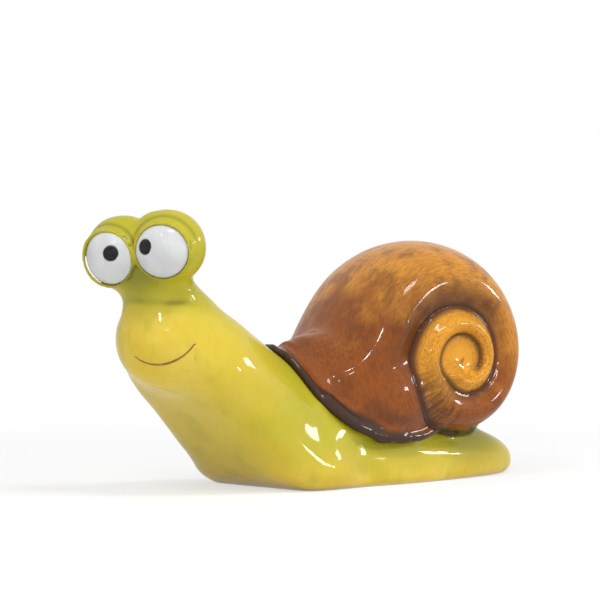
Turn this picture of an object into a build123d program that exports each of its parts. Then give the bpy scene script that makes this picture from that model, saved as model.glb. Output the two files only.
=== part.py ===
"""Glazed ceramic snail ornament: hollow castings luted together, with set-in eyes and an inlaid smile.

Sizes are in millimetres. The frame has +Z up and the tail towards +X. The neck bends from -X towards -Y,
which is the snail's left. The origin lies on the sole, under the middle of the figure.
"""

import math
import os

from build123d import *

# Castings and joints
WALL = 5.0
LUTE_GAP = 0.2
OVERRUN = 30.0

# Foot and back, from the root of the neck to the tail
NECK_ROOT_X = 13.0
TAIL_LENGTH = 113.0
FOOT_WIDTH = 72.0
BACK_HEIGHT = 66.0

# Neck, which rises along a slope to the head and turns to the left on its way
HEAD_REACH = 105.0
HEAD_HEIGHT = 66.5
HEAD_WIDTH = 65.0
HEAD_DEPTH = 58.0
NECK_LENGTH = 100.0
NECK_SLOPE_ANGLE = 41.0
NECK_TURN_ANGLE = 14.0

# Chest: a flat face below the neck's axis, which rises out of the sole through a bend
CHEST_TURN_ANGLE = 9.0
CHEST_DEPTH = 11.1
CHEST_BEND_RADIUS = 28.0

# Muzzle: the swelling of the face, which looks further to the left than the neck
FACE_TURN_ANGLE = 33.0
MUZZLE_FORWARD = 0.6
MUZZLE_LIFT = 7.0
MUZZLE_WIDTH = 53.0
MUZZLE_HEIGHT = 48.0
MUZZLE_DEPTH = 57.0

# Crown, which stands on the head and carries the eyes
CROWN_FORWARD = 19.0
CROWN_RISE = 46.5

# Sections of the foot, from the tail forward: shares of the length behind the root of the neck, of the
# back's height at the centre, of the half width, and of the back's height over the centre
FOOT_SHARES = (
    (1.00, 0.12, 0.03, 0.02),
    (0.97, 0.12, 0.26, 0.13),
    (0.90, 0.12, 0.46, 0.20),
    (0.74, 0.12, 0.68, 0.26),
    (0.46, 0.12, 0.86, 0.40),
    (0.14, 0.14, 0.97, 0.66),
    (-0.14, 0.16, 1.00, 0.74),
    (-0.42, 0.16, 0.94, 0.58),
    (-0.62, 0.16, 0.80, 0.44),
)
# Sections of the neck, from its root to the muzzle: shares of the length below the head, of the head's
# half width, and of its half depth
NECK_SHARES = (
    (1.00, 1.02, 1.54),
    (0.96, 1.03, 1.53),
    (0.84, 1.05, 1.51),
    (0.65, 1.08, 1.44),
    (0.43, 1.09, 1.29),
    (0.22, 1.07, 1.16),
    (0.04, 1.00, 1.04),
    (-0.07, 0.78, 0.82),
    (-0.12, 0.42, 0.46),
    (-0.135, 0.12, 0.13),
)
# Sections of the crown, from the head's centre up: shares of the way forward and up to the crown's top,
# the lean in degrees, and the share of the head's half width
CROWN_SHARES = (
    (-0.25, 0.02, 88, 0.88),
    (-0.10, 0.24, 86, 0.78),
    (0.10, 0.46, 82, 0.66),
    (0.45, 0.62, 75, 0.55),
    (0.76, 0.80, 67, 0.45),
    (1.00, 1.00, 60, 0.22),
)

# Eye bulbs on the crown, and the eyeballs in their sockets
EYE_ROLL_ANGLE = 7.0
EYE_FORWARD = 2.0
EYE_LIFT = 2.8
EYE_SPACING = 23.8
BULB_RADIUS = 16.8
SOCKET_RADIUS = 12.7
SOCKET_DEPTH = 3.5
EYEBALL_RADIUS = 14.8
PEG_RADIUS = 4.0
PEG_LENGTH = 6.0
EYE_TURN_ANGLE = 35.0
EYE_SPLAY_ANGLE = 8.0
EYE_PITCH_ANGLE = -11.0

# Pupils, let into the eyeballs
PUPIL_RADIUS = 3.4
PUPIL_DEPTH = 1.0
PUPIL_RAISE = 0.3
PUPIL_TURN_ANGLE = 29.5
PUPIL_CROSS_ANGLE = 15.0
PUPIL_PITCH_ANGLE = 2.0

# Smile, let into the muzzle
SMILE_TURN_ANGLE = 36.0
SMILE_ROLL_ANGLE = 12.0
SMILE_DROP = 10.0
SMILE_OFFSET = 5.6
SMILE_RADIUS = 19.0
SMILE_HALF_ANGLE = 47.0
SMILE_WIDTH = 1.4
SMILE_DEPTH = 1.0

# Vent holes in the sole and the back, one above the other
VENT_X = 30.0
VENT_RADIUS = 8.0

# Shell: a tube that winds about a level axis and grows by the same factor each turn, up to its last turn
COIL_X = 61.5
COIL_Z = 63.5
SHELL_RADIUS = 59.0
SHELL_WIDTH = 80.0
SPIRE_RISE = 8.0
SUTURE_RADIUS = 10.4
WHORL_GROWTH_SHARE = 2.2
WHORL_LAP_SHARE = 0.35
FIRST_ANGLE = 225
LAST_TURN_ANGLE = 630
LAST_ANGLE = 945
ANGLE_STEP = 45
CORE_RADIUS = 54.0
CORE_WIDTH = 78.0
BELLY_X = 25.0
BELLY_Z = 45.0
BELLY_LENGTH = 78.0
BELLY_WIDTH = 85.0
BELLY_HEIGHT = 72.0
# Shares of the shell's radius around the last turn, where it leaves the spiral
LAST_TURN_SHARES = {675: 0.82, 720: 0.93, 765: 0.98, 810: 1.00, 855: 0.93, 900: 1.11, 945: 1.35}

# Lip of the shell: a collar that lies on the body, within an oval seen from the side
LIP_THICKNESS = 4.5
LIP_X = 30.0
LIP_Z = 82.0
LIP_REACH = 62.0
LIP_DROP = 60.0


def directions(turn, pitch=0):
    """Unit vectors ahead and to the snail's left, for a heading and a pitch in degrees."""
    angle = math.radians(turn)
    rise = math.radians(pitch)
    ahead = Vector(-math.cos(angle), -math.sin(angle), 0) * math.cos(rise) + Vector(0, 0, math.sin(rise))
    left = Vector(math.sin(angle), -math.cos(angle), 0)
    return ahead, left


def spine_point(reach):
    """Ground point and heading at a distance ahead of the neck's root, where the path starts to bend left."""
    radius = HEAD_REACH / math.radians(NECK_TURN_ANGLE)
    turn = math.degrees(max(reach, 0) / radius)
    ahead, left = directions(turn)
    bend_centre = Vector(NECK_ROOT_X, -radius, 0)
    return bend_centre - left * radius + ahead * min(reach, 0), turn


def neck_point(reach):
    """Ground point on the bent path, with the chest's heading, which keeps the neck's sections parallel."""
    ground, _ = spine_point(reach)
    return ground, CHEST_TURN_ANGLE


def straight_point(reach):
    """Ground point and heading on the straight path of the foot."""
    return Vector(NECK_ROOT_X - reach, 0, 0), 0


def section(path, reach, height, lean, half_width, half_depth):
    """An ellipse across the body, whose normal leans up from level."""
    ground, turn = path(reach)
    normal, left = directions(turn, lean)
    plane = Plane(origin=ground + Vector(0, 0, height), x_dir=left, z_dir=normal)
    return plane * Ellipse(half_width, half_depth)


def tube(path, rows, inset):
    """A form through rows of sections, drawn in by an inset, without the sections that this would close."""
    kept = [row for row in rows if min(row[3:]) > 2.5 * inset]
    return loft([section(path, *row[:3], row[3] - inset, row[4] - inset) for row in kept])


def foot(inset):
    rows = []
    for length, height, width, rise in FOOT_SHARES:
        reach = -TAIL_LENGTH * length
        rows.append((reach, BACK_HEIGHT * height, 0, FOOT_WIDTH / 2 * width, BACK_HEIGHT * rise))
    return tube(straight_point, rows, inset)


def neck(inset):
    slope = math.radians(NECK_SLOPE_ANGLE)
    rows = []
    for length, width, depth in NECK_SHARES:
        reach = HEAD_REACH - NECK_LENGTH * length * math.cos(slope)
        height = HEAD_HEIGHT - NECK_LENGTH * length * math.sin(slope)
        rows.append((reach, height, NECK_SLOPE_ANGLE, HEAD_WIDTH / 2 * width, HEAD_DEPTH / 2 * depth))
    return tube(neck_point, rows, inset)


def crown(inset):
    rows = []
    for forward, up, lean, width in CROWN_SHARES:
        reach = HEAD_REACH + CROWN_FORWARD * forward
        height = HEAD_HEIGHT + CROWN_RISE * up
        rows.append((reach, height, lean, HEAD_WIDTH / 2 * width, HEAD_WIDTH / 2 * width))
    return tube(spine_point, rows, inset)


def below(height):
    """A block that takes away everything under a height."""
    side = 4 * (TAIL_LENGTH + HEAD_REACH)
    return Pos(0, 0, height - side / 2) * Box(side, side, side)


def chest_reach():
    """Distance ahead of the neck's root at which the sole starts to bend up into the chest."""
    slope = math.radians(NECK_SLOPE_ANGLE)
    drop = CHEST_DEPTH / math.cos(slope) + CHEST_BEND_RADIUS * (1 - math.cos(slope))
    return HEAD_REACH - (HEAD_HEIGHT - drop) / math.tan(slope) - CHEST_BEND_RADIUS * math.sin(slope)


def under_chest(inset):
    """The room under the chest: an arc out of the sole, then the slope of the neck."""
    slope = math.radians(NECK_SLOPE_ANGLE)
    lift = inset / math.cos(slope)
    start = Vector(chest_reach(), lift)
    bend_centre = start + Vector(0, CHEST_BEND_RADIUS)
    middle = bend_centre + Vector(math.sin(slope / 2), -math.cos(slope / 2)) * CHEST_BEND_RADIUS
    bend_end = bend_centre + Vector(math.sin(slope), -math.cos(slope)) * CHEST_BEND_RADIUS
    top = bend_end + Vector(math.cos(slope), math.sin(slope)) * NECK_LENGTH
    outer_corner = Vector(top.X, -OVERRUN)
    inner_corner = Vector(start.X, -OVERRUN)
    bend = ThreePointArc(start, middle, bend_end)
    outline = make_face([bend, Polyline(bend_end, top, outer_corner, inner_corner, start)])
    ahead, left = directions(CHEST_TURN_ANGLE)
    plane = Plane(origin=(NECK_ROOT_X, 0, 0), x_dir=ahead, z_dir=-left)
    return extrude(plane * outline, amount=HEAD_WIDTH, both=True)


def muzzle_centre():
    ground, _ = spine_point(HEAD_REACH)
    ahead, _ = directions(FACE_TURN_ANGLE)
    return ground + ahead * MUZZLE_FORWARD + Vector(0, 0, HEAD_HEIGHT + MUZZLE_LIFT)


def muzzle(inset):
    """The swelling of the face."""
    ahead, left = directions(FACE_TURN_ANGLE)
    plane = Plane(origin=muzzle_centre(), x_dir=left, z_dir=ahead)
    radii = (MUZZLE_WIDTH / 2 - inset, MUZZLE_HEIGHT / 2 - inset, MUZZLE_DEPTH / 2 - inset)
    return plane * scale(Sphere(1), by=radii)


def bulb_centre(side):
    """Centre of an eye bulb. Side is 1 for the snail's left eye and -1 for its right eye."""
    ground, _ = spine_point(HEAD_REACH + CROWN_FORWARD)
    ahead, left = directions(FACE_TURN_ANGLE)
    roll = math.radians(EYE_ROLL_ANGLE)
    across = left * math.cos(roll) + Vector(0, 0, math.sin(roll))
    middle = ground + Vector(0, 0, HEAD_HEIGHT + CROWN_RISE + EYE_LIFT) + ahead * EYE_FORWARD
    return middle + across * (side * EYE_SPACING / 2)


def eye_plane(side):
    """Plane at the centre of an eye bulb, square to the way that its white faces."""
    ahead, left = directions(EYE_TURN_ANGLE + side * EYE_SPLAY_ANGLE, EYE_PITCH_ANGLE)
    return Plane(origin=bulb_centre(side), x_dir=left, z_dir=ahead)


def socket_floor():
    """Distance of a socket's floor from the centre of its bulb."""
    return math.sqrt(BULB_RADIUS**2 - SOCKET_RADIUS**2) - SOCKET_DEPTH


def eyeball_centre():
    """Distance of an eyeball's centre from the centre of its bulb, with its edge level with the socket's rim."""
    return socket_floor() + SOCKET_DEPTH - math.sqrt(EYEBALL_RADIUS**2 - SOCKET_RADIUS**2)


def rod(plane, radius, start, end):
    """A round rod along a plane's normal."""
    return plane * Pos(0, 0, (start + end) / 2) * Cylinder(radius, end - start)


def eye_socket(side):
    plane = eye_plane(side)
    floor = socket_floor()
    bore = rod(plane, PEG_RADIUS + LUTE_GAP, floor - PEG_LENGTH - LUTE_GAP, floor + SOCKET_DEPTH)
    return rod(plane, SOCKET_RADIUS, floor, floor + OVERRUN) + bore


def pupil_plane(side):
    """Plane on the floor of a pupil's recess, square to the way that the pupil looks."""
    ahead, left = directions(PUPIL_TURN_ANGLE - side * PUPIL_CROSS_ANGLE, PUPIL_PITCH_ANGLE)
    centre = eye_plane(side).from_local_coords(Vector(0, 0, eyeball_centre()))
    floor = math.sqrt(EYEBALL_RADIUS**2 - PUPIL_RADIUS**2) - PUPIL_DEPTH
    return Plane(origin=centre + ahead * floor, x_dir=left, z_dir=ahead)


def eye_sphere(side, growth):
    return eye_plane(side) * Pos(0, 0, eyeball_centre()) * Sphere(EYEBALL_RADIUS + growth)


def eyeball(side):
    """A dome with a flat back and a peg, and a recess for the pupil."""
    plane = eye_plane(side)
    floor = socket_floor()
    dome = rod(plane, SOCKET_RADIUS - LUTE_GAP, floor, floor + OVERRUN) & eye_sphere(side, 0)
    peg = rod(plane, PEG_RADIUS, floor - PEG_LENGTH, floor + SOCKET_DEPTH)
    return dome + peg - rod(pupil_plane(side), PUPIL_RADIUS + LUTE_GAP, 0, OVERRUN)


def pupil(side):
    """A flat-backed button whose domed face stands a little proud of the eyeball."""
    return rod(pupil_plane(side), PUPIL_RADIUS, 0, OVERRUN) & eye_sphere(side, PUPIL_RAISE)


def smile_band(growth):
    """A bar through the muzzle with the smile's outline."""
    ahead, left = directions(SMILE_TURN_ANGLE)
    roll = math.radians(SMILE_ROLL_ANGLE)
    across = left * math.cos(roll) + Vector(0, 0, math.sin(roll))
    middle = muzzle_centre() - Vector(0, 0, SMILE_DROP) + left * SMILE_OFFSET
    plane = Plane(origin=middle, x_dir=across, z_dir=ahead)
    arc = CenterArc((0, SMILE_RADIUS), SMILE_RADIUS, 270 - SMILE_HALF_ANGLE, 2 * SMILE_HALF_ANGLE)
    return extrude(plane * SlotArc(arc, SMILE_WIDTH + 2 * growth), amount=MUZZLE_WIDTH)


def smile_line():
    return (smile_band(0) & muzzle(0)) - muzzle(SMILE_DEPTH)


def body():
    """Foot, neck, head and eye bulbs in one hollow casting, with sockets, a smile groove and two vents."""
    form = foot(0) + neck(0) + crown(0) - under_chest(0) + muzzle(0)
    for side in (1, -1):
        form += eye_plane(side) * Sphere(BULB_RADIUS)
    form -= below(0)
    form -= foot(WALL) + neck(WALL) + crown(WALL) - under_chest(WALL) - below(WALL)
    form -= Pos(VENT_X, 0, HEAD_HEIGHT / 2) * Cylinder(VENT_RADIUS, 2 * HEAD_HEIGHT)
    for side in (1, -1):
        form -= eye_socket(side)
    return form - ((smile_band(LUTE_GAP) & muzzle(-SMILE_DEPTH)) - muzzle(SMILE_DEPTH))


def suture(angle):
    """Radius of the whorl's outer edge."""
    if angle in LAST_TURN_SHARES:
        return SHELL_RADIUS * LAST_TURN_SHARES[angle]
    return SUTURE_RADIUS * WHORL_GROWTH_SHARE ** (angle / 360)


def whorl(first_angle, inset):
    """The winding tube from an angle to the lip, drawn in by an inset."""
    sections = []
    for angle in range(first_angle, LAST_ANGLE + 1, ANGLE_STEP):
        outer = suture(angle)
        inner = suture(angle - 360)
        inner -= WHORL_LAP_SHARE * (outer - inner)
        half_width = SHELL_WIDTH / 2 + SPIRE_RISE * max(1 - outer / SHELL_RADIUS, 0)
        turn = math.radians(angle)
        radial = Vector(math.cos(turn), 0, math.sin(turn))
        onward = Vector(-math.sin(turn), 0, math.cos(turn))
        centre = Vector(COIL_X, 0, COIL_Z) + radial * ((inner + outer) / 2)
        plane = Plane(origin=centre, x_dir=radial, z_dir=onward)
        sections.append(plane * Ellipse((outer - inner) / 2 - inset, half_width - inset))
    return loft(sections)


def core(inset):
    """The lens that closes the gaps between the turns, and the swelling between the coil and the lip."""
    radius = CORE_RADIUS - inset
    lens = Pos(COIL_X, 0, COIL_Z) * scale(Sphere(1), by=(radius, CORE_WIDTH / 2 - inset, radius))
    radii = (BELLY_LENGTH / 2 - inset, BELLY_WIDTH / 2 - inset, BELLY_HEIGHT / 2 - inset)
    return lens + Pos(BELLY_X, 0, BELLY_Z) * scale(Sphere(1), by=radii)


def lip():
    """The collar where the shell lies on the body, before the body is taken out of it."""
    plane = Plane(origin=(LIP_X, 0, LIP_Z), x_dir=(1, 0, 0), z_dir=(0, -1, 0))
    slab = extrude(plane * Ellipse(LIP_REACH, LIP_DROP), amount=FOOT_WIDTH, both=True)
    return (foot(-LIP_THICKNESS) + neck(-LIP_THICKNESS)) & slab


def shell():
    """The coiled casting, hollow over the body's back, with a seat cut to the body's form."""
    seat = foot(-LUTE_GAP) + neck(-LUTE_GAP)
    form = (whorl(FIRST_ANGLE, 0) + core(0) - seat) + (lip() - seat)
    return form - core(WALL) - whorl(LAST_TURN_ANGLE, WALL) - below(LIP_Z - LIP_DROP)


nodes = {"body": body(), "shell": shell(), "smile_line": smile_line()}
for name, side in (("left", 1), ("right", -1)):
    nodes[name + "_eyeball"] = eyeball(side)
    nodes[name + "_pupil"] = pupil(side)

os.makedirs("parts", exist_ok=True)
for name, shape in nodes.items():
    export_step(shape, f"parts/{name}.step")
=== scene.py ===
"""Looks of a glazed ceramic snail ornament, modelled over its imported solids.

Lengths are in metres, in the part's own frame: +Z up, the tail towards +X and the snail's left towards -Y.
"""

import math

import bmesh
import bpy
import numpy as np
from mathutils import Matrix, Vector, noise
from mathutils.bvhtree import BVHTree
from mathutils.kdtree import KDTree


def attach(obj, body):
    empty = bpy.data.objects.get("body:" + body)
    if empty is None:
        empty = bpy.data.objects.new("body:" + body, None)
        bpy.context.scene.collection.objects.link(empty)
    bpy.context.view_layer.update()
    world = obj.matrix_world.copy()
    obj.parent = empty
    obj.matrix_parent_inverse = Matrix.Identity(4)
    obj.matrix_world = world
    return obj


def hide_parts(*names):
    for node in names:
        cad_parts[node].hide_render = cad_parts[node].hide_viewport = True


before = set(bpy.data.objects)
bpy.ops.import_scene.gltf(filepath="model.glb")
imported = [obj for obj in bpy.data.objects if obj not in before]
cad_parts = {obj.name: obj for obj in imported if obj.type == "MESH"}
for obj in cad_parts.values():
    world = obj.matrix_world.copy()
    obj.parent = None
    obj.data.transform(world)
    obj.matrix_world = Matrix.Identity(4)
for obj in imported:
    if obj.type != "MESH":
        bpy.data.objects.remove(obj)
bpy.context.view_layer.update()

# Camera, at the photograph's viewing angle
CAMERA_AZIMUTH = -36
CAMERA_ELEVATION = 0.5
CAMERA_DISTANCE = 1.1
CAMERA_TARGET = Vector((-0.008, 0, 0.092))
CAMERA_LENS = 132
SENSOR_WIDTH = 36

# Mesh sizes, how far concave corners are filled, and rounds of smoothing
BODY_VOXEL = 0.0008
BODY_FILLET = 0.0045
SHELL_VOXEL = 0.0008
SHELL_FILLET = 0.0060
EYE_VOXEL = 0.0004
PUPIL_VOXEL = 0.0002
WELD = 0.00001
SOFTEN_ROUNDS = 6
LID_ROUNDS = 2
POLISH_ROUNDS = 4
HOLLOW_ROUNDS = 14

# Vents of the casting
VENT_X = 0.030
VENT_RADIUS = 0.008
VENT_SLACK = 0.0004
VENT_RECESS = 0.014
SOLE_LEVEL = 0.0005

# Eyes: the way that the whites face, the part of a white that counts as its cap and as its wall, the rolled lids
# round the whites and the folds over them
EYE_TURN = {"left": 43, "right": 27}
EYE_PITCH = -11
EYE_CAP = 0.004
EYE_WALL_SHARE = 0.95
LID_RADIUS = 0.0131
LID_ROLL = 0.0008
LID_INSET = 0.0003
BROW_RADIUS = 0.0155
BROW_WIDTH = 0.0006
BROW_DEPTH = 0.0004
BROW_START = 0.002
BROW_FULL = 0.009
BROW_REACH = 0.008

# Neck and head, where the casting is smoothed over: from the chest up to below the crown
HEAD_X = 0.010
HEAD_FADE = 0.030
CHEST_LOW = 0.0005
CHEST_FADE = 0.010
CHIN_HIGH = 0.092
CHIN_FADE = 0.014
CHIN_ROUNDS = 900
TOE_HEIGHT = 0.040
TOE_ROUNDS = 300

# What is added after the smoothing
CHEST_FILL = 0.0022
TOE_FILL = 0.0070
EDGE_RADIUS = 0.0035
TOE_RADIUS = 0.0110
BULB_FILL = 0.0009
BULB_START = 0.004
BULB_FULL = 0.012
BULB_NEAR = 0.026
BULB_FAR = 0.034

# Tail, drawn out to a lower end
TAIL_X = 0.100
TAIL_END = 0.130
TAIL_DROP_SHARE = 0.16
TAIL_REACH = 0.0018

# Skirt of the foot, below a soft fold in the flank
SKIRT_X = -0.020
SKIRT_END = 0.115
SKIRT_FADE = 0.025
SKIRT_Z = 0.022
SKIRT_HEIGHT = 0.0055
SKIRT_DEPTH = 0.0016
UPRIGHT_START = 0.2
UPRIGHT_FULL = 0.5

# Folds under the eye bulbs
COLLAR_Z = 0.0925
COLLAR_WAVE = 0.0022
COLLAR_DEPTH = 0.0006
COLLAR_WIDTH = 0.0017
COLLAR_LEAST = 0.4
STALK_X = -0.100
STALK_FADE = 0.010

# Coil of the shell: the spiral seam between its turns
COIL_X = 0.0615
COIL_Z = 0.0635
SEAM_RADIUS = 0.0098
SEAM_GROWTH = 2.2
SEAM_FIRST_ANGLE = -60
SEAM_LAST_ANGLE = 640
SEAM_RUN_IN = 40
COIL_FADE_ANGLE = 530
SEAM_DEPTH = 0.0010
SEAM_WIDTH = 0.0011
SEAM_SHADE_WIDTH = 0.0024
FLANK_Y = 0.022
FLANK_FULL = 1.3 * FLANK_Y
OUTWARD_START = 0.2
OUTWARD_FULL = 0.6
COIL_SHIFT = (0.0042, 0, -0.0012)
COIL_SHIFT_START = 0.050
COIL_SHIFT_FULL = 0.028

# Rim of the shell, swollen to a round bead where it lies on the body
RIM_NEAR = 0.0045
RIM_FAR = 0.0075
RIM_SWELL = 0.0011
RIM_ROUNDS = 10
COVER_REACH = 0.012
COVER_ROUNDS = 12

# Flare of the shell's front above its rim
FLARE_CENTRE = (-0.012, 0.002, 0.066)
FLARE_RADIUS = 0.013
FLARE_HEIGHT = 0.010

# Swell of the body that closes the gap below the rim
SWELL_REACH = 0.008
SWELL_GAP = 0.0002
SWELL_ROUNDS = 40

# Smile
SMILE_STATIONS = 28
SMILE_SIDES = 12
SMILE_HALF_WIDTH = 0.00058
SMILE_HALF_HEIGHT = 0.00035
SMILE_END_SHARE = 0.35
SMILE_GROOVE = 0.0004
SMILE_GROOVE_WIDTH = 0.0012

# Uneven surface of a casting that was finished by hand
WAVE_LENGTH = 0.016
WAVE_HEIGHT = 0.0003


def mesh_copy(node, name):
    """A new object with a copy of a solid's mesh."""
    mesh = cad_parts[node].data.copy()
    mesh.materials.clear()
    obj = bpy.data.objects.new(name, mesh)
    bpy.context.scene.collection.objects.link(obj)
    return obj


def apply_modifiers(obj):
    graph = bpy.context.evaluated_depsgraph_get()
    mesh = bpy.data.meshes.new_from_object(obj.evaluated_get(graph))
    obj.modifiers.clear()
    obj.data = mesh


def add_remesh(obj, voxel):
    remesh = obj.modifiers.new("remesh", "REMESH")
    remesh.mode = "VOXEL"
    remesh.voxel_size = voxel
    remesh.use_smooth_shade = True


def add_offset(obj, distance):
    offset = obj.modifiers.new("offset", "DISPLACE")
    offset.mid_level = 0
    offset.strength = distance


def add_smooth(obj, rounds, weights=None, level=False):
    """Smooths a mesh, where weights are given by them, and on the level alone if asked."""
    smooth = obj.modifiers.new("smooth", "SMOOTH")
    smooth.factor = 0.5
    smooth.iterations = rounds
    smooth.use_z = not level
    if weights is not None:
        group = obj.vertex_groups.new(name="smooth")
        for index in np.flatnonzero(weights > 0):
            group.add([int(index)], float(weights[index]), "REPLACE")
        smooth.vertex_group = group.name


def soften(obj, voxel, fillet, rounds):
    """Fills concave corners to a radius, and smooths the rest a little."""
    add_remesh(obj, voxel)
    add_offset(obj, fillet)
    add_remesh(obj, voxel)
    add_offset(obj, -fillet)
    add_remesh(obj, voxel)
    add_smooth(obj, rounds)
    apply_modifiers(obj)


def points_of(mesh):
    points = np.empty(len(mesh.vertices) * 3)
    mesh.vertices.foreach_get("co", points)
    return points.reshape(-1, 3)


def normals_of(mesh):
    normals = np.empty(len(mesh.vertices) * 3)
    mesh.vertex_normals.foreach_get("vector", normals)
    return normals.reshape(-1, 3)


def set_points(mesh, points):
    mesh.vertices.foreach_set("co", points.ravel())
    mesh.update()


def set_layer(mesh, name, values):
    """A named number on each vertex, which the materials read."""
    layer = mesh.attributes.new(name, "FLOAT", "POINT")
    layer.data.foreach_set("value", np.asarray(values, dtype=np.float32))


def neighbour_mean(mesh, values):
    """The mean of each vertex's neighbours."""
    edges = np.empty(len(mesh.edges) * 2, dtype=np.int64)
    mesh.edges.foreach_get("vertices", edges)
    first, second = edges.reshape(-1, 2).T
    here = np.concatenate((first, second))
    there = np.concatenate((second, first))
    size = len(values)
    counts = np.maximum(np.bincount(here, minlength=size), 1)
    columns = values.reshape(size, -1).T
    sums = [np.bincount(here, weights=column[there], minlength=size) for column in columns]
    return (np.array(sums) / counts).T.reshape(values.shape)


def hollowness(mesh, rounds):
    """How far each vertex lies below its surroundings: positive in grooves, negative on ridges."""
    points = points_of(mesh)
    smooth = points.copy()
    for _ in range(rounds):
        smooth = neighbour_mean(mesh, smooth)
    return np.einsum("ij,ij->i", smooth - points, normals_of(mesh))


def surface(mesh):
    """A search tree over a mesh's faces."""
    return BVHTree.FromPolygons(
        [vertex.co for vertex in mesh.vertices], [face.vertices for face in mesh.polygons]
    )


def distances(points, tree, limit):
    """Distance of each point from a surface, up to a limit."""
    found = (tree.find_nearest(Vector(point), limit)[3] for point in points)
    return np.array([limit if gap is None else gap for gap in found])


def reaches(points, ways, tree, limit):
    """How far each point can go its own way before it meets a surface: past the limit where it meets none, and
    negative where it comes from inside."""
    found = []
    for spot, way in zip(points, ways):
        _, normal, _, reach = tree.ray_cast(Vector(spot), Vector(way), limit)
        if normal is None:
            found.append(2 * limit)
        elif normal.dot(Vector(way)) > 0:
            found.append(-reach)
        else:
            found.append(reach)
    return np.array(found)


def bare_skin(mesh, shell_tree):
    """A search tree over the body's vertices that the shell leaves bare."""
    points = points_of(mesh)
    share = (reaches(points, normals_of(mesh), shell_tree, COVER_REACH) > COVER_REACH).astype(float)
    for _ in range(COVER_ROUNDS):
        share = neighbour_mean(mesh, share)
    bare = points[share > 0.5]
    tree = KDTree(len(bare))
    for index, point in enumerate(bare):
        tree.insert(point, index)
    tree.balance()
    return tree


def edge_distances(points, skin):
    """Distance of each of the shell's points from the bare skin beside its rim."""
    return np.array([skin.find(point)[2] for point in points])


def step(values, low, high):
    """A soft step from 0 at low to 1 at high."""
    share = np.clip((values - low) / (high - low), 0, 1)
    return share * share * (3 - 2 * share)


def span(values, low, full, fade, end):
    """A soft step from 0 at low to 1 at full, and back from 1 at fade to 0 at end."""
    return step(values, low, full) * (1 - step(values, fade, end))


def wave(points, length):
    """Smooth noise between about -1 and 1."""
    return np.array([noise.noise(Vector(point) / length) for point in points])


def islands(bm):
    """Groups of faces that hang together."""
    left = set(bm.faces)
    groups = []
    while left:
        stack = [left.pop()]
        group = []
        while stack:
            face = stack.pop()
            group.append(face)
            near = {other for edge in face.edges for other in edge.link_faces} & left
            left -= near
            stack.extend(near)
        groups.append(group)
    return groups


def keep_skin(bm):
    """Deletes all but the largest group of faces that hang together."""
    groups = sorted(islands(bm), key=lambda group: sum(face.calc_area() for face in group))
    for group in groups[:-1]:
        bmesh.ops.delete(bm, geom=group, context="FACES")


def keep_outside(mesh):
    """Takes the cavity out of the body's mesh, and leaves a blind recess where the sole has its vent."""
    bm = bmesh.new()
    bm.from_mesh(mesh)
    bmesh.ops.remove_doubles(bm, verts=bm.verts, dist=WELD)
    walls = []
    for face in bm.faces:
        gaps = [math.hypot(vertex.co.x - VENT_X, vertex.co.y) - VENT_RADIUS for vertex in face.verts]
        if max(abs(gap) for gap in gaps) < VENT_SLACK and abs(face.normal.z) < 0.5:
            walls.append(face)
    bmesh.ops.delete(bm, geom=walls, context="FACES")
    keep_skin(bm)
    rim = [edge for edge in bm.edges if edge.is_boundary]
    sole_rim = [edge for edge in rim if max(vertex.co.z for vertex in edge.verts) < SOLE_LEVEL]
    raised = bmesh.ops.extrude_edge_only(bm, edges=sole_rim)["geom"]
    for vertex in (item for item in raised if isinstance(item, bmesh.types.BMVert)):
        vertex.co.z += VENT_RECESS
    bmesh.ops.holes_fill(bm, edges=[edge for edge in bm.edges if edge.is_boundary])
    bmesh.ops.recalc_face_normals(bm, faces=bm.faces)
    bm.to_mesh(mesh)
    bm.free()


def eye_axis(side):
    """The way that an eye's white faces."""
    turn = math.radians(EYE_TURN[side])
    pitch = math.radians(EYE_PITCH)
    level = math.cos(pitch)
    return Vector((-math.cos(turn) * level, -math.sin(turn) * level, math.sin(pitch)))


def eye_rim(side):
    """Centre of the circle where an eyeball's dome meets its socket's rim."""
    axis = np.array(eye_axis(side))
    points = points_of(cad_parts[side + "_eyeball"].data)
    along = points @ axis
    middle = points[along > along.max() - EYE_CAP].mean(axis=0)
    spread = points - middle
    outward = np.linalg.norm(spread - np.outer(spread @ axis, axis), axis=1)
    wall = points[outward > EYE_WALL_SHARE * outward.max()]
    top = (wall @ axis).max()
    centre = wall.mean(axis=0)
    return Vector(centre + axis * (top - centre @ axis))


def ring(bm, centre, axis, radius, roll, around=96, across=16):
    """Adds a closed ring of round section."""
    turn = axis.to_track_quat("Z", "Y")
    rows = []
    for i in range(around):
        angle = math.tau * i / around
        outward = turn @ Vector((math.cos(angle), math.sin(angle), 0))
        row = []
        for j in range(across):
            tilt = math.tau * j / across
            reach = outward * (radius + roll * math.cos(tilt)) + axis * (roll * math.sin(tilt))
            row.append(bm.verts.new(centre + reach))
        rows.append(row)
    for i in range(around):
        for j in range(across):
            near = rows[i]
            far = rows[(i + 1) % around]
            bm.faces.new((near[j], far[j], far[(j + 1) % across], near[(j + 1) % across]))


def add_lids(mesh):
    bm = bmesh.new()
    bm.from_mesh(mesh)
    for side in EYE_TURN:
        axis = eye_axis(side)
        ring(bm, eye_rim(side) - axis * LID_INSET, axis, LID_RADIUS, LID_ROLL)
    bm.to_mesh(mesh)
    bm.free()


def smile_path():
    """Points along the middle of the inlaid smile, from one corner of the mouth to the other."""
    points = points_of(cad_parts["smile_line"].data)
    middle = points.mean(axis=0)
    across = np.linalg.svd(points - middle)[2][0]
    along = (points - middle) @ across
    edges = np.linspace(along.min(), along.max(), SMILE_STATIONS + 1)
    rows = []
    for low, high in zip(edges[:-1], edges[1:]):
        inside = points[(along >= low) & (along <= high)]
        if len(inside):
            rows.append(inside.mean(axis=0))
    return np.array(rows)


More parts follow.
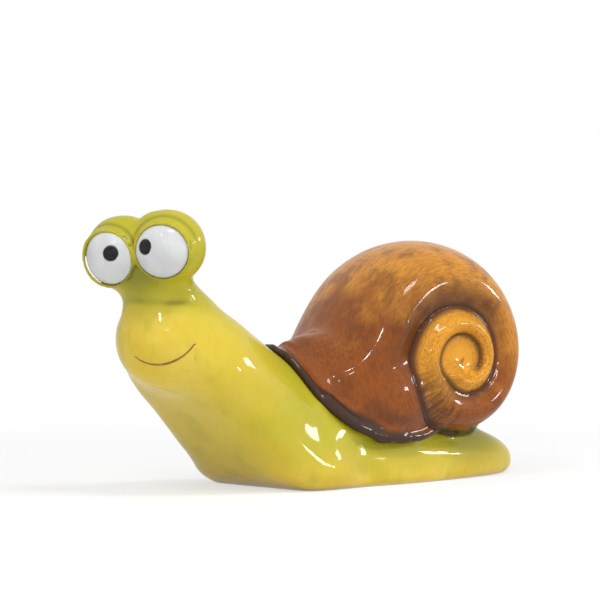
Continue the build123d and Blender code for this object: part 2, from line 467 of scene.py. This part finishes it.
def head_share(points):
    """1 on the head, neck and chest, and 0 behind them."""
    return step(-points[:, 0], -HEAD_X, -HEAD_X + HEAD_FADE)


def below_crown(points):
    return 1 - step(points[:, 2], CHIN_HIGH - CHIN_FADE, CHIN_HIGH)


def toe_share(points):
    """1 along the front edge of the sole, and 0 above it."""
    return head_share(points) * (1 - step(points[:, 2], 0, TOE_HEIGHT))


def smooth_head(obj):
    """Smooths the face into the chest and the neck, and rounds the front of the foot."""
    points = points_of(obj.data)
    above_sole = step(points[:, 2], CHEST_LOW, CHEST_LOW + CHEST_FADE)
    add_smooth(obj, CHIN_ROUNDS, head_share(points) * below_crown(points) * above_sole)
    add_smooth(obj, TOE_ROUNDS, toe_share(points), level=True)
    apply_modifiers(obj)
    obj.vertex_groups.clear()


def fill_out(obj):
    """Adds what the smoothing took off the neck and chest, fills the bulbs behind the eyes, rounds the lower edge
    of the foot and draws out the tail."""
    points = points_of(obj.data)
    normals = normals_of(obj.data)
    fill = CHEST_FILL * head_share(points) * below_crown(points)
    for side in EYE_TURN:
        offset = points - np.array(eye_rim(side))
        behind = step(-offset @ np.array(eye_axis(side)), BULB_START, BULB_FULL)
        fill += BULB_FILL * behind * (1 - step(np.linalg.norm(offset, axis=1), BULB_NEAR, BULB_FAR))
    outward = normals * (1, 1, 0)
    radius = EDGE_RADIUS + (TOE_RADIUS - EDGE_RADIUS) * head_share(points)
    below = np.clip(radius - points[:, 2], 0, radius)
    rounding = radius - np.sqrt(radius ** 2 - below ** 2)
    points += normals * fill[:, None] + outward * (TOE_FILL * toe_share(points) - rounding)[:, None]
    end = step(points[:, 0], TAIL_X, TAIL_END)
    points[:, 0] += TAIL_REACH * end
    points[:, 2] *= 1 - TAIL_DROP_SHARE * end
    points[:, 2] = np.maximum(points[:, 2], 0)
    set_points(obj.data, points)


def body_mesh():
    """Foot, neck, head and eye bulbs as one soft form, with lids."""
    obj = mesh_copy("body", "body_casting")
    keep_outside(obj.data)
    soften(obj, BODY_VOXEL, BODY_FILLET, SOFTEN_ROUNDS)
    smooth_head(obj)
    fill_out(obj)
    add_lids(obj.data)
    add_remesh(obj, BODY_VOXEL)
    add_smooth(obj, LID_ROUNDS)
    apply_modifiers(obj)
    return obj


def collar(points):
    """1 in the fold that runs round the stalk of the eyes, and 0 away from it."""
    level = points[:, 2] - COLLAR_Z - COLLAR_WAVE * wave(points, 6 * COLLAR_WAVE)
    front = step(-points[:, 0], -STALK_X - STALK_FADE, -STALK_X)
    uneven = COLLAR_LEAST + (1 - COLLAR_LEAST) * step(wave(points, 5 * COLLAR_WAVE), -0.5, 0.5)
    return np.exp(-((level / COLLAR_WIDTH) ** 2)) * front * uneven


def brows(points):
    """1 in the fold over each eye, and 0 away from it."""
    total = np.zeros(len(points))
    for side in EYE_TURN:
        axis = np.array(eye_axis(side))
        offset = points - np.array(eye_rim(side))
        along = offset @ axis
        radial = np.linalg.norm(offset - np.outer(along, axis), axis=1)
        line = np.exp(-(((radial - BROW_RADIUS) / BROW_WIDTH) ** 2))
        total += line * step(offset[:, 2], BROW_START, BROW_FULL) * (np.abs(along) < BROW_REACH)
    return np.clip(total, 0, 1)


def skirt_fold(points):
    """1 in the fold along the flank, over the skirt of the foot, and 0 away from it."""
    x, _, z = points.T
    along = span(x, SKIRT_X, SKIRT_X + SKIRT_FADE, SKIRT_END - SKIRT_FADE, SKIRT_END)
    return along * np.exp(-(((z - SKIRT_Z) / SKIRT_HEIGHT) ** 2))


def carve_body(obj):
    points = points_of(obj.data)
    normals = normals_of(obj.data)
    above = step(points[:, 2], SOLE_LEVEL, 8 * SOLE_LEVEL)
    points += normals * (wave(points, WAVE_LENGTH) * WAVE_HEIGHT * above)[:, None]
    path = smile_path()
    near = np.full(len(points), 1.0)
    for spot in path:
        near = np.minimum(near, np.linalg.norm(points - spot, axis=1))
    depth = SMILE_GROOVE * np.exp(-((near / SMILE_GROOVE_WIDTH) ** 2))
    depth += COLLAR_DEPTH * collar(points) + BROW_DEPTH * brows(points)
    upright = step(1 - np.abs(normals[:, 2]), UPRIGHT_START, UPRIGHT_FULL)
    depth += SKIRT_DEPTH * skirt_fold(points) * upright
    points -= normals * depth[:, None]
    set_points(obj.data, points)


# Spread and strength of the colours that are sprayed on the body, and of the painted shade between the eye bulbs
# and in the folds
BACK_SPREAD = 0.052
TAIL_SPREAD = 0.014
TAIL_GREEN_START = 0.050
TAIL_GREEN_FULL = 0.085
HEAD_GREEN_LOW = 0.074
HEAD_GREEN_HIGH = 0.104
HEAD_GREEN_START = 0.055
HEAD_GREEN_FULL = 0.075
VALLEY_DROP = 0.012
VALLEY_RADIUS = 0.010
TAIL_SHARE = 0.5
COLLAR_SHARE = 0.6
BROW_SHARE = 0.7


def paint_body(obj, shell_tree):
    """Where the greens, the darker olive on the tail, the painted shade between the eye bulbs and in the folds and
    hollows, and the bare sole lie.
    """
    mesh = obj.data
    points = points_of(mesh)
    x, _, z = points.T
    gap = distances(points, shell_tree, 3 * BACK_SPREAD)
    back = np.exp(-((gap / BACK_SPREAD) ** 2)) * step(z, 0, SKIRT_Z)
    head = step(z, HEAD_GREEN_LOW, HEAD_GREEN_HIGH) * step(-x, HEAD_GREEN_START, HEAD_GREEN_FULL)
    set_layer(mesh, "green", np.clip(back + head, 0, 1))
    tail = TAIL_SHARE * np.exp(-((gap / TAIL_SPREAD) ** 2)) * step(x, TAIL_GREEN_START, TAIL_GREEN_FULL)
    # Painted shade in the valley between the eye bulbs, and in the folds of the collar and over the eyes
    valley = (eye_rim("left") + eye_rim("right")) / 2 - Vector((0, 0, VALLEY_DROP))
    between = np.exp(-((np.linalg.norm(points - np.array(valley), axis=1) / VALLEY_RADIUS) ** 2))
    folds = COLLAR_SHARE * collar(points) + BROW_SHARE * brows(points)
    set_layer(mesh, "olive_and_shade", np.clip(tail + between + folds, 0, 1))
    # Painted shade, deepest where the surface lies furthest below its surroundings
    set_layer(mesh, "hollow_shade", hollowness(mesh, HOLLOW_ROUNDS) / BODY_VOXEL)
    set_layer(mesh, "sole", 1 - step(z, SOLE_LEVEL, 2 * SOLE_LEVEL))


def shell_mesh(body):
    """Outside of the dome and the coil, with the edge that lies on the body rolled to a bead."""
    obj = mesh_copy("shell", "shell_casting")
    bm = bmesh.new()
    bm.from_mesh(obj.data)
    bmesh.ops.remove_doubles(bm, verts=bm.verts, dist=WELD)
    keep_skin(bm)
    bm.to_mesh(obj.data)
    bm.free()
    soften(obj, SHELL_VOXEL, SHELL_FILLET, SOFTEN_ROUNDS)
    points = points_of(obj.data)
    gap = edge_distances(points, bare_skin(body.data, surface(obj.data)))
    away = np.linalg.norm(points - np.array(FLARE_CENTRE), axis=1)
    rise = FLARE_HEIGHT * np.exp(-((away / FLARE_RADIUS) ** 2)) * step(gap, RIM_NEAR, RIM_FAR)
    rise += RIM_SWELL * (1 - step(gap, RIM_NEAR, RIM_FAR))
    set_points(obj.data, points + normals_of(obj.data) * rise[:, None])
    add_remesh(obj, SHELL_VOXEL)
    add_smooth(obj, RIM_ROUNDS)
    apply_modifiers(obj)
    return obj


def close_nape(obj, shell_tree):
    """Swells the body up to the shell's rim, so that no gap shows below it."""
    mesh = obj.data
    points = points_of(mesh)
    normals = normals_of(mesh)
    room = np.maximum(reaches(points, normals, shell_tree, SWELL_REACH) - SWELL_GAP, 0)
    rise = np.where(room < SWELL_REACH, room, 0)
    for _ in range(SWELL_ROUNDS):
        rise = neighbour_mean(mesh, rise)
    set_points(mesh, points + normals * np.minimum(rise, room)[:, None])


def coil_place(points):
    """Distance from the coil's axis, angle about it, signed distance from the last seam, how far the outer turn
    has run out, from 0 to 1, and how close the nearest seam is, from 0 to 1, as a function of a width."""
    x = points[:, 0] - COIL_X
    z = points[:, 2] - COIL_Z
    radius = np.hypot(x, z)
    angle = np.degrees(np.arctan2(z, x)) % 360
    growth = math.log(SEAM_GROWTH)
    reached = 360 * np.log(np.maximum(radius, 0.1 * SEAM_RADIUS) / SEAM_RADIUS) / growth
    last = angle + 360 * np.floor((SEAM_LAST_ANGLE - angle) / 360)
    nearest = np.minimum(angle + 360 * np.round((reached - angle) / 360), last)
    per_degree = radius * growth / 360
    seam = (reached - nearest) * per_degree
    outer_turn = step(last, COIL_FADE_ANGLE, SEAM_LAST_ANGLE) * (reached > last - 360)
    strength = step(nearest, SEAM_FIRST_ANGLE, SEAM_FIRST_ANGLE + SEAM_RUN_IN)

    def closeness(width):
        return np.exp(-((seam / width) ** 2)) * strength

    return radius, angle, (reached - last) * per_degree, outer_turn, closeness


def flank_share(points):
    """1 on the flanks of the shell, and 0 inside it."""
    return step(np.abs(points[:, 1]), FLANK_Y, FLANK_FULL)


def carve_shell(obj):
    """Cuts the seam into both flanks, and moves the inner turns to where they lie in the coil."""
    mesh = obj.data
    points = points_of(mesh)
    normals = normals_of(mesh)
    radius, _, _, _, closeness = coil_place(points)
    outward = step(normals[:, 1] * np.sign(points[:, 1]), OUTWARD_START, OUTWARD_FULL)
    flank = flank_share(points)
    points -= normals * (SEAM_DEPTH * closeness(SEAM_WIDTH) * flank * outward)[:, None]
    share = flank * (1 - step(radius, COIL_SHIFT_FULL, COIL_SHIFT_START))
    points += share[:, None] * np.array(COIL_SHIFT)
    set_points(mesh, points)


# Spread of the brush strokes on the shell, and of the painted shade over the coil, along its seams, in its hollows
# and along the rim.
# Angles are in degrees about the coil's axis, from the tail upwards: where a colour starts, is full, begins to
# fade and ends
COIL_EDGE = 0.004
SHADE_SPREAD = 0.016
SHADE_ANGLES = (10, 60, 150, 215)
STROKE_REACH = 0.018
STROKE_EDGE = 0.003
STROKE_ANGLES = (170, 215, 250, 280)
STROKE_ANGLE = 3.0
STROKE_LENGTH = 0.012
STROKE_FINE = 0.37
SMEAR_LOW = -0.9
SMEAR_HIGH = 0.5
RIM_THIN = 0.0058
RIM_WIDE = 0.0080
RIM_BROAD = 0.4
RIM_LOW = 0.030
RIM_HIGH = 0.060
RIM_BACK_START = 0.020
RIM_BACK = 0.055
INNER_RADIUS = 0.012
OUTER_RADIUS = 0.026
INNER_THIN = 0.45
INNER_PALE = 0.7


def paint_shell(obj, skin):
    """Where the coil, its brush strokes, and the painted shade along its seams, over it, in its hollows and along
    the rim lie.
    """
    mesh = obj.data
    points = points_of(mesh)
    radius, angle, last_seam, outer_turn, closeness = coil_place(points)
    flank = flank_share(points)
    inner = 1 - step(radius, INNER_RADIUS, OUTER_RADIUS)
    # Painted shade along the seam's groove, narrower on the inner turns
    set_layer(mesh, "seam", closeness(SEAM_SHADE_WIDTH * (1 - INNER_THIN * inner)) * flank)
    set_layer(mesh, "coil", flank * (1 - step(last_seam, -COIL_EDGE, 0)) * (1 - outer_turn))
    # Painted shade over the coil, beyond its last seam
    beyond = np.maximum(last_seam, 0)
    over = span(angle, *SHADE_ANGLES) * (last_seam > 0) * np.exp(-((beyond / SHADE_SPREAD) ** 2))
    set_layer(mesh, "shade", flank * over)
    polar = np.column_stack((angle / STROKE_ANGLE, radius / STROKE_LENGTH, np.sign(points[:, 1])))
    smear = step(wave(polar, 1) + wave(polar, STROKE_FINE), SMEAR_LOW, SMEAR_HIGH)
    inside = span(last_seam, -STROKE_REACH, -STROKE_EDGE, 0, STROKE_EDGE)
    set_layer(mesh, "stroke", flank * span(angle, *STROKE_ANGLES) * smear * inside)
    # Painted shade along the rim, where the shell lies on the body, broader low at the front
    ahead = 1 - step(points[:, 0], RIM_BACK_START, RIM_BACK)
    low = 1 - step(points[:, 2], RIM_LOW, RIM_HIGH)
    broad = 1 + RIM_BROAD * ahead * low
    set_layer(mesh, "rim", 1 - step(edge_distances(points, skin), RIM_THIN * broad, RIM_WIDE * broad))
    # Painted shade in the hollows, paler in the middle of the coil
    grooves = hollowness(mesh, HOLLOW_ROUNDS) / SHELL_VOXEL
    set_layer(mesh, "hollow_shade", grooves * (1 - INNER_PALE * inner * flank))


def polished(node, name, voxel):
    """A solid's form with a fine, smooth mesh."""
    obj = mesh_copy(node, name)
    add_remesh(obj, voxel)
    add_smooth(obj, POLISH_ROUNDS)
    apply_modifiers(obj)
    return obj


def smile_mesh(body_tree):
    """A line of thick glaze that tapers towards the corners of the mouth."""
    path = smile_path()
    bm = bmesh.new()
    rows = []
    last = len(path) - 1
    for i, spot in enumerate(path):
        place, normal, _, _ = body_tree.find_nearest(Vector(spot))
        onward = Vector(path[min(i + 1, last)] - path[max(i - 1, 0)]).normalized()
        across = onward.cross(normal).normalized()
        bulge = math.sin(math.pi * (i + 0.5) / len(path)) ** 0.6
        size = SMILE_END_SHARE + (1 - SMILE_END_SHARE) * bulge
        row = []
        for j in range(SMILE_SIDES):
            tilt = math.tau * j / SMILE_SIDES
            side = across * (SMILE_HALF_WIDTH * math.cos(tilt))
            lift = normal * (SMILE_HALF_HEIGHT * math.sin(tilt))
            row.append(bm.verts.new(place + (side + lift) * size))
        rows.append(row)
    for near, far in zip(rows[:-1], rows[1:]):
        for j in range(SMILE_SIDES):
            after = (j + 1) % SMILE_SIDES
            bm.faces.new((near[j], far[j], far[after], near[after]))
    bm.faces.new(rows[0])
    bm.faces.new(reversed(rows[-1]))
    bmesh.ops.recalc_face_normals(bm, faces=bm.faces)
    mesh = bpy.data.meshes.new("smile")
    bm.to_mesh(mesh)
    bm.free()
    for face in mesh.polygons:
        face.use_smooth = True
    obj = bpy.data.objects.new("smile_glaze", mesh)
    bpy.context.scene.collection.objects.link(obj)
    return obj


def add(tree, kind, inputs=None, **settings):
    """Adds a node, and sets or links its inputs, which are given by name or number."""
    new = tree.nodes.new(kind)
    for key, value in settings.items():
        setattr(new, key, value)
    for key, value in (inputs or {}).items():
        if isinstance(value, bpy.types.NodeSocket):
            tree.links.new(value, new.inputs[key])
        else:
            new.inputs[key].default_value = value
    return new


def new_material(name):
    material = bpy.data.materials.new(name)
    material.use_nodes = True
    material.node_tree.nodes.clear()
    return material, material.node_tree


def place(tree):
    return add(tree, "ShaderNodeTexCoord").outputs["Object"]


def grain(tree, size, detail=3.0, stretch=(1, 1, 1)):
    """Noise between 0 and 1, with features of about a size."""
    scaled = add(tree, "ShaderNodeMapping", {"Vector": place(tree), "Scale": stretch})
    inputs = {"Vector": scaled.outputs[0], "Scale": 1 / size, "Detail": detail}
    return add(tree, "ShaderNodeTexNoise", inputs).outputs["Fac"]


def brush(tree, along, across):
    """Noise that is drawn out round the coil's axis, as brush strokes are."""
    x, y, z = add(tree, "ShaderNodeSeparateXYZ", {0: place(tree)}).outputs
    x = maths(tree, "SUBTRACT", x, COIL_X)
    z = maths(tree, "SUBTRACT", z, COIL_Z)
    turn = maths(tree, "ARCTAN2", x, z)
    squares = maths(tree, "ADD", maths(tree, "POWER", x, 2), maths(tree, "POWER", z, 2))
    radius = maths(tree, "SQRT", squares, 0)
    inputs = {
        0: maths(tree, "DIVIDE", turn, along),
        1: maths(tree, "DIVIDE", radius, across),
        2: maths(tree, "DIVIDE", y, across),
    }
    polar = add(tree, "ShaderNodeCombineXYZ", inputs).outputs[0]
    strokes = add(tree, "ShaderNodeTexNoise", {"Vector": polar, "Scale": 1.0, "Detail": 4.0}).outputs["Fac"]
    return maths(tree, "MAXIMUM", strokes, ramp(tree, radius, *BRUSH_FREE, 1.0, 0.0))


def layer(tree, name):
    return add(tree, "ShaderNodeAttribute", attribute_name=name).outputs["Fac"]


def ramp(tree, value, low, high, start=0.0, end=1.0):
    """A soft change from start to end as a value goes from low to high."""
    inputs = {"Value": value, "From Min": low, "From Max": high, "To Min": start, "To Max": end}
    return add(tree, "ShaderNodeMapRange", inputs, interpolation_type="SMOOTHSTEP").outputs["Result"]


def maths(tree, operation, first, second):
    return add(tree, "ShaderNodeMath", {0: first, 1: second}, operation=operation).outputs[0]


def mix(tree, factor, first, second):
    inputs = {0: factor}
    for key, colour in ((6, first), (7, second)):
        inputs[key] = colour if isinstance(colour, bpy.types.NodeSocket) else (*colour, 1)
    return add(tree, "ShaderNodeMix", inputs, data_type="RGBA").outputs[2]


def glaze(tree, colour, roughness, relief, height, coat=0.35, specular=0.05):
    """A clear glaze over a colour."""
    bump = add(tree, "ShaderNodeBump", {"Height": relief, "Distance": height, "Strength": 1.0})
    shader = add(tree, "ShaderNodeBsdfPrincipled", {
        "Base Color": colour,
        "Roughness": roughness,
        "Normal": bump.outputs[0],
        "Specular IOR Level": specular,
        "Coat Weight": coat,
        "Coat Roughness": COAT_ROUGHNESS,
    })
    add(tree, "ShaderNodeOutputMaterial", {"Surface": shader.outputs[0]})


COAT_ROUGHNESS = 0.06

# The brush leaves the middle of the coil free, between these distances from its axis
BRUSH_FREE = (0.006, 0.014)

# Colours of the glazes, and of the painted shade in the body's hollows and along the shell's rim
YELLOW = (0.62, 0.44, 0.040)
PALE_YELLOW = (0.68, 0.50, 0.070)
GREEN = (0.40, 0.36, 0.018)
DEEP_GREEN = (0.19, 0.19, 0.020)
# Painted shade in the body's hollows
FOLD_SHADE = (0.13, 0.105, 0.018)
BISQUE = (0.74, 0.62, 0.48)

AMBER = (0.58, 0.24, 0.028)
RUSSET = (0.25, 0.066, 0.008)
DARK_RUSSET = (0.15, 0.044, 0.010)
UMBER = (0.055, 0.018, 0.008)
COIL_AMBER = (0.66, 0.29, 0.022)
RIM_SHADE = (0.045, 0.022, 0.014)

EYE_GREY = (0.50, 0.51, 0.52)
EYE_WHITE = (0.57, 0.58, 0.58)
PUPIL_BLACK = (0.010, 0.009, 0.010)
PUPIL_DARK = (0.022, 0.018, 0.018)
SMILE_DARK = (0.19, 0.085, 0.014)
SMILE_BROWN = (0.34, 0.17, 0.030)


def body_material():
    """Yellow glaze, with green sprayed over the head and round the shell, darker olive on the tail, and painted
    shade between the eye bulbs, in the folds and in the hollows.
    """
    material, tree = new_material("body_glaze")
    cloud = grain(tree, 0.022, 4)
    fine = grain(tree, 0.0035, 4)
    base = mix(tree, ramp(tree, cloud, 0.35, 0.7), YELLOW, PALE_YELLOW)
    green = maths(tree, "MULTIPLY", layer(tree, "green"), ramp(tree, cloud, 0.2, 0.6, 0.65, 1.0))
    base = mix(tree, green, base, GREEN)
    smudge = grain(tree, 0.013, 5, (1, 1, 0.6))
    base = mix(tree, ramp(tree, smudge, 0.50, 0.68, 0.0, 0.45), base, GREEN)
    dabs = grain(tree, 0.0028, 3, (1, 1, 0.45))
    base = mix(tree, ramp(tree, dabs, 0.56, 0.72, 0.0, 0.12), base, DEEP_GREEN)
    # Painted shade between the eye bulbs and in the folds, and darker olive on the tail
    base = mix(tree, layer(tree, "olive_and_shade"), base, DEEP_GREEN)
    # Painted shade in the hollows
    folds = ramp(tree, layer(tree, "hollow_shade"), 0.1, 1.2)
    base = mix(tree, folds, base, FOLD_SHADE)
    speckle = maths(tree, "MULTIPLY", ramp(tree, fine, 0.66, 0.72, 0.0, 0.35), ramp(tree, cloud, 0.5, 0.62))
    base = mix(tree, speckle, base, DEEP_GREEN)
    base = mix(tree, layer(tree, "sole"), base, BISQUE)
    roughness = ramp(tree, cloud, 0.3, 0.7, 0.32, 0.44)
    glaze(tree, base, roughness, grain(tree, 0.006, 2), 0.00012)
    return material


def shell_material():
    """Amber glaze, russet towards the bottom and the front, with brown patches and brush strokes, and painted
    shade along the seams, over the coil, in the hollows and along the rim.
    """
    material, tree = new_material("shell_glaze")
    cloud = grain(tree, 0.020, 5)
    fine = grain(tree, 0.0014, 4)
    x, _, z = add(tree, "ShaderNodeSeparateXYZ", {0: place(tree)}).outputs
    height = maths(tree, "ADD", z, maths(tree, "MULTIPLY", x, 0.45))
    uneven = maths(tree, "ADD", height, ramp(tree, cloud, 0.2, 0.8, -0.026, 0.026))
    base = mix(tree, ramp(tree, uneven, 0.070, 0.135), RUSSET, AMBER)
    patches = grain(tree, 0.012, 4)
    base = mix(tree, ramp(tree, patches, 0.48, 0.66, 0.0, 0.55), base, DARK_RUSSET)
    base = mix(tree, layer(tree, "coil"), base, COIL_AMBER)
    lines = brush(tree, 0.09, 0.0010)
    streaks = ramp(tree, lines, 0.34, 0.62, 0.42, 0.0)
    mottle = maths(tree, "MULTIPLY", streaks, ramp(tree, cloud, 0.3, 0.7, 0.5, 1.0))
    base = mix(tree, mottle, base, UMBER)
    base = mix(tree, ramp(tree, fine, 0.62, 0.75, 0.0, 0.35), base, UMBER)
    base = mix(tree, maths(tree, "MULTIPLY", layer(tree, "stroke"), 0.85), base, UMBER)
    # Painted shade over the coil, along the seams and in the hollows
    base = mix(tree, maths(tree, "MULTIPLY", layer(tree, "shade"), 0.8), base, UMBER)
    base = mix(tree, maths(tree, "MULTIPLY", layer(tree, "seam"), 0.9), base, UMBER)
    base = mix(tree, ramp(tree, layer(tree, "hollow_shade"), 0.2, 1.5), base, UMBER)
    # Painted shade along the rim
    base = mix(tree, layer(tree, "rim"), base, RIM_SHADE)
    roughness = ramp(tree, fine, 0.3, 0.7, 0.28, 0.42)
    glaze(tree, base, roughness, fine, 0.00008)
    return material


def eye_material():
    material, tree = new_material("eye_white")
    cloud = grain(tree, 0.010, 3)
    base = mix(tree, ramp(tree, cloud, 0.3, 0.7), EYE_GREY, EYE_WHITE)
    roughness = ramp(tree, cloud, 0.3, 0.7, 0.22, 0.32)
    glaze(tree, base, roughness, grain(tree, 0.004, 2), 0.00006)
    return material


def pupil_material():
    material, tree = new_material("pupil_black")
    cloud = grain(tree, 0.0015, 3)
    base = mix(tree, ramp(tree, cloud, 0.3, 0.7), PUPIL_BLACK, PUPIL_DARK)
    glaze(tree, base, ramp(tree, cloud, 0.3, 0.7, 0.12, 0.25), cloud, 0.00003, coat=0.2)
    return material


def smile_material():
    material, tree = new_material("smile_brown")
    cloud = grain(tree, 0.0025, 3)
    base = mix(tree, ramp(tree, cloud, 0.3, 0.7), SMILE_DARK, SMILE_BROWN)
    glaze(tree, base, ramp(tree, cloud, 0.3, 0.7, 0.3, 0.45), cloud, 0.00004)
    return material


def seen_rays(tree):
    """1 for what is looked at straight, in a reflection or through a clear piece, and 0 for what lights others."""
    rays = add(tree, "ShaderNodeLightPath").outputs
    seen = maths(tree, "MAXIMUM", rays["Is Camera Ray"], rays["Is Glossy Ray"])
    return maths(tree, "MAXIMUM", seen, rays["Is Transmission Ray"])


# Floor, near white but for the shadow round the object, and the light of the room
FLOOR_SIZE = 12
FLOOR_SQUARES = 8
FLOOR_PALE = (0.90, 0.90, 0.90)
FLOOR_WHITE = (0.92, 0.92, 0.92)
FLOOR_NEAR = 0.10
FLOOR_FAR = 0.55
FLOOR_NEAR_SHARE = 0.6
ROOM_LIGHT = 0.55


def floor_material():
    """A pale floor that stays near white for the camera and still takes the object's shadow."""
    material, tree = new_material("floor_white")
    seen = seen_rays(tree)
    speck = mix(tree, grain(tree, 0.05, 2), FLOOR_PALE, FLOOR_WHITE)
    plain = add(tree, "ShaderNodeBsdfDiffuse", {"Color": speck})
    bright = add(tree, "ShaderNodeEmission", {"Color": (1, 1, 1, 1), "Strength": 1.0})
    distance = add(tree, "ShaderNodeVectorMath", {0: place(tree)}, operation="LENGTH").outputs["Value"]
    spread = ramp(tree, distance, FLOOR_NEAR, FLOOR_FAR, FLOOR_NEAR_SHARE, 1.0)
    share = maths(tree, "MULTIPLY", seen, spread)
    both = add(tree, "ShaderNodeMixShader", {0: share, 1: plain.outputs[0], 2: bright.outputs[0]})
    add(tree, "ShaderNodeOutputMaterial", {"Surface": both.outputs[0]})
    return material


def make_floor():
    bm = bmesh.new()
    bmesh.ops.create_grid(bm, x_segments=FLOOR_SQUARES, y_segments=FLOOR_SQUARES, size=FLOOR_SIZE)
    mesh = bpy.data.meshes.new("floor")
    bm.to_mesh(mesh)
    bm.free()
    mesh.materials.append(floor_material())
    floor = bpy.data.objects.new("floor", mesh)
    bpy.context.scene.collection.objects.link(floor)


def make_world():
    """White wherever the camera or a reflection sees past the floor, and a soft even light elsewhere."""
    world = bpy.data.worlds.new("studio")
    world.use_nodes = True
    tree = world.node_tree
    tree.nodes.clear()
    strength = ramp(tree, seen_rays(tree), 0, 1, ROOM_LIGHT, 1.0)
    light = add(tree, "ShaderNodeBackground", {"Color": (1, 1, 1, 1), "Strength": strength})
    add(tree, "ShaderNodeOutputWorld", {"Surface": light.outputs[0]})
    bpy.context.scene.world = world


# Lamps: where each stands, seen from the object's middle, as azimuth, elevation and distance, with its size,
# its power, and whether the glaze mirrors it
LAMPS = {
    "key": (-60, 48, 1.1, (0.45, 0.45), 1.8, False),
    "low_fill": (-46, 4, 1.3, (0.50, 0.20), 1.4, False),
    "fill": (20, 40, 1.2, (0.50, 0.50), 1.2, False),
    "spark_front": (-42, 22, 0.9, (0.05, 0.05), 0.5, True),
    "spark_left": (-58, 44, 0.9, (0.06, 0.06), 0.8, True),
    "spark_right": (62, 17, 0.9, (0.14, 0.10), 1.6, True),
    "spark_low": (38, 8, 0.9, (0.07, 0.07), 0.8, True),
    "spark_top": (-14, 62, 0.9, (0.26, 0.13), 2.6, True),
}
LAMP_TARGET = Vector((0.01, 0, 0.06))


def spot_round(target, azimuth, elevation, distance):
    """A point at a distance from a target. Azimuth 0 looks along +Y."""
    turn = math.radians(azimuth)
    rise = math.radians(elevation)
    away = Vector((math.sin(turn) * math.cos(rise), -math.cos(turn) * math.cos(rise), math.sin(rise)))
    return target + away * distance


def aim(obj, target):
    obj.rotation_euler = (target - obj.location).to_track_quat("-Z", "Y").to_euler()


def make_lamps():
    for name, (azimuth, elevation, distance, size, power, mirrored) in LAMPS.items():
        lamp = bpy.data.lights.new(name, "AREA")
        lamp.shape = "RECTANGLE"
        lamp.size, lamp.size_y = size
        lamp.energy = power
        obj = bpy.data.objects.new(name, lamp)
        obj.location = spot_round(LAMP_TARGET, azimuth, elevation, distance)
        obj.visible_glossy = mirrored
        aim(obj, LAMP_TARGET)
        bpy.context.scene.collection.objects.link(obj)


def make_camera():
    lens = bpy.data.cameras.new("camera")
    lens.lens = CAMERA_LENS
    lens.sensor_width = SENSOR_WIDTH
    camera = bpy.data.objects.new("camera", lens)
    camera.location = spot_round(CAMERA_TARGET, CAMERA_AZIMUTH, CAMERA_ELEVATION, CAMERA_DISTANCE)
    aim(camera, CAMERA_TARGET)
    bpy.context.scene.collection.objects.link(camera)
    bpy.context.scene.camera = camera


def dress(obj, node, material):
    """A finished piece stands for its solid."""
    obj.data.materials.clear()
    obj.data.materials.append(material)
    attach(obj, "root")
    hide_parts(node)


def make_snail():
    body = body_mesh()
    shell = shell_mesh(body)
    shell_tree = surface(shell.data)
    close_nape(body, shell_tree)
    carve_body(body)
    body_tree = surface(body.data)
    paint_body(body, shell_tree)
    paint_shell(shell, bare_skin(body.data, shell_tree))
    carve_shell(shell)
    dress(body, "body", body_material())
    dress(shell, "shell", shell_material())
    dress(smile_mesh(body_tree), "smile_line", smile_material())
    white = eye_material()
    black = pupil_material()
    for side in EYE_TURN:
        eye = polished(side + "_eyeball", side + "_eye", EYE_VOXEL)
        dress(eye, side + "_eyeball", white)
        pupil = polished(side + "_pupil", side + "_eye_pupil", PUPIL_VOXEL)
        dress(pupil, side + "_pupil", black)


make_snail()
make_floor()
make_world()
make_lamps()
make_camera()
bpy.context.scene.view_settings.view_transform = "Standard"
